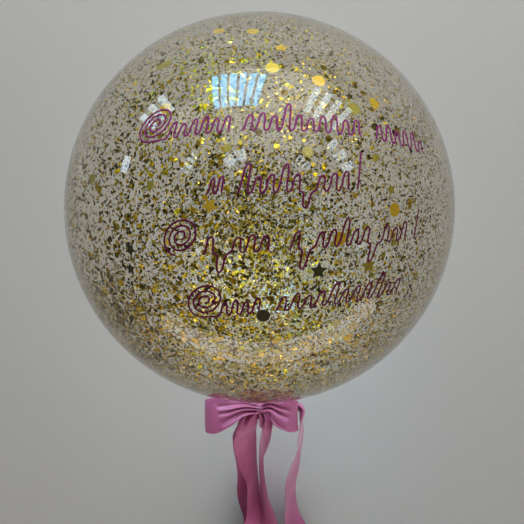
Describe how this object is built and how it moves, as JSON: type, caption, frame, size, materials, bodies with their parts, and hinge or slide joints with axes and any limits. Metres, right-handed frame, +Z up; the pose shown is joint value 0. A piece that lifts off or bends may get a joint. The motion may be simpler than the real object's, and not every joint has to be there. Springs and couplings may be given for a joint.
{
  "type": "clear bubble balloon",
  "caption": "Clear film bubble balloon lying on its back on a small flat spot, gold foil confetti sealed inside, magenta vinyl strokes on its front, and a pink satin bow with tails at its neck.",
  "frame": {"origin": "The middle of the small flat spot that the balloon rests on, at floor level.", "axes": "+Z up, through the middle of the balloon; the vinyl strokes face +Z. The neck and the ribbons point along -Y, and the tops of the strokes point along +Y. +X is to the right of someone who looks down on the strokes."},
  "size_m": [0.46, 0.9131, 0.4584],
  "materials": {
    "clear_film": "clear glossy film",
    "satin_ribbon": "satin",
    "vinyl": "satin",
    "gold_foil": "bright foil"
  },
  "bodies": {
    "root": {"balloon_envelope": "clear_film", "bow_ribbon": "satin_ribbon", "streamer_ribbon": "satin_ribbon", "vinyl_row1_flourish_run": "vinyl", "vinyl_row1_long_run": "vinyl", "vinyl_row1_end_run": "vinyl", "vinyl_row2_short_run": "vinyl", "vinyl_row2_long_run": "vinyl", "vinyl_row2_bar": "vinyl", "vinyl_row3_curl": "vinyl", "vinyl_row3_run": "vinyl", "vinyl_row3_long_run": "vinyl", "vinyl_row3_bar": "vinyl", "vinyl_row4_flourish_run": "vinyl", "vinyl_row4_long_run": "vinyl"}
  },
  "joints": []
}
